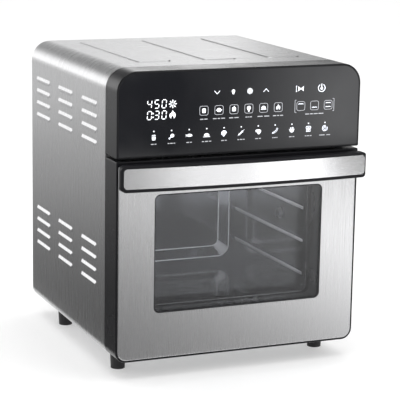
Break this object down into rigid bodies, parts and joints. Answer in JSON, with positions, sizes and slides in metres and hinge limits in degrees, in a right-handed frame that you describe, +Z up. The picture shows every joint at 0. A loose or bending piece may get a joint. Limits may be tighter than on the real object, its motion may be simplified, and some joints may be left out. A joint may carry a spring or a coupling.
{
  "type": "toaster oven",
  "caption": "Countertop air-fryer toaster oven: brushed steel shell, black touch control box, glazed drop-down door with a bowed bar handle.",
  "frame": {"origin": "middle of the width and of the depth from the handle to the rear spacers, on the surface that the feet stand on", "axes": "+Z up, -Y out of the front (the door and control panel face -Y), +X to the right of someone facing the front"},
  "size_m": [0.3232, 0.377, 0.3768],
  "materials": {
    "housing_steel": "brushed, satin",
    "door_steel": "brushed, satin",
    "handle_steel": "fine brushed, bright",
    "front_frame_steel": "satin",
    "cavity_steel": "bright rolled",
    "galvanised_steel": "zinc coated, semi-matt",
    "bezel_plastic": "satin moulded",
    "black_plastic": "fine moulded texture",
    "panel_glass": "polished, printed black behind",
    "display_plastic": "polished",
    "circuit_board": "solder mask",
    "ceramic_wool": "loose fibre",
    "heater_sheath": "oxidised",
    "fan_aluminium": "pressed",
    "motor_enamel": "enamel",
    "lens_glass": "frosted",
    "bulb_glass": "clear",
    "ceramic_white": "glazed",
    "white_plastic": "moulded",
    "screw_steel": "bright zinc",
    "clear_glass": "tempered, polished",
    "silicone_seal": "matt silicone",
    "foot_rubber": "moulded rubber"
  },
  "bodies": {
    "oven": {"outer_housing": "housing_steel", "base_plate": "galvanised_steel", "rear_cover": "galvanised_steel", "rear_spacers": "black_plastic", "rear_screws": "screw_steel", "cord_gland": "black_plastic", "feet": "foot_rubber", "foot_screws": "screw_steel", "base_screws": "screw_steel", "front_frame": "front_frame_steel", "hinge_brackets": "screw_steel", "control_bezel": "bezel_plastic", "touch_panel": "panel_glass", "display_module": "display_plastic", "display_board": "circuit_board", "cavity_right_wall": "cavity_steel", "cavity_left_wall": "cavity_steel", "cavity_back_wall": "cavity_steel", "cavity_top": "cavity_steel", "cavity_floor": "cavity_steel", "cavity_supports": "galvanised_steel", "insulation": "ceramic_wool", "top_heater": "heater_sheath", "bottom_heater": "heater_sheath", "heater_clips": "screw_steel", "heat_shield": "galvanised_steel", "fan_guard": "cavity_steel", "fan_motor": "motor_enamel", "motor_bracket": "galvanised_steel", "rotisserie_motor": "galvanised_steel", "rotisserie_support": "cavity_steel", "lamp_lens": "lens_glass", "lamp_holder": "ceramic_white", "lamp_bulb": "bulb_glass", "temperature_probe": "screw_steel", "thermal_cutout": "ceramic_white", "board_posts": "galvanised_steel", "main_board": "circuit_board", "terminal_block": "white_plastic", "door_switch": "black_plastic"},
    "door": {"door_frame": "bezel_plastic", "door_skin": "door_steel", "door_glass": "clear_glass", "inner_glass": "clear_glass", "inner_panel": "cavity_steel", "liner_screws": "screw_steel", "door_seal": "silicone_seal", "hinge_pins": "screw_steel", "handle_plate": "handle_steel", "handle_body": "black_plastic", "handle_screws": "screw_steel"},
    "fan_rotor": {"convection_fan": "fan_aluminium", "fan_shaft": "screw_steel", "fan_nut": "screw_steel", "cooling_fan": "fan_aluminium"},
    "spit_drive": {"rotisserie_socket": "screw_steel"},
    "switch_plunger": {"switch_plunger": "white_plastic"}
  },
  "joints": [
    {"name": "door_hinge", "type": "hinge", "parent": "oven", "child": "door", "pos_m": [0, -0.1326, 0.034], "axis": [1, 0, 0], "range_deg": [0, 80]},
    {"name": "fan_spin", "type": "hinge", "parent": "oven", "child": "fan_rotor", "pos_m": [0, 0, 0.32], "axis": [0, 0, 1], "continuous": true},
    {"name": "spit_spin", "type": "hinge", "parent": "oven", "child": "spit_drive", "pos_m": [0.128, -0.018, 0.161], "axis": [1, 0, 0], "continuous": true},
    {"name": "plunger_slide", "type": "slide", "parent": "oven", "child": "switch_plunger", "axis": [0, -1, 0], "range_m": [0, 0.003]}
  ],
  "couplings": [
    {"joint": "plunger_slide", "follows": "door_hinge", "m_per_rad": 0.002141}
  ]
}
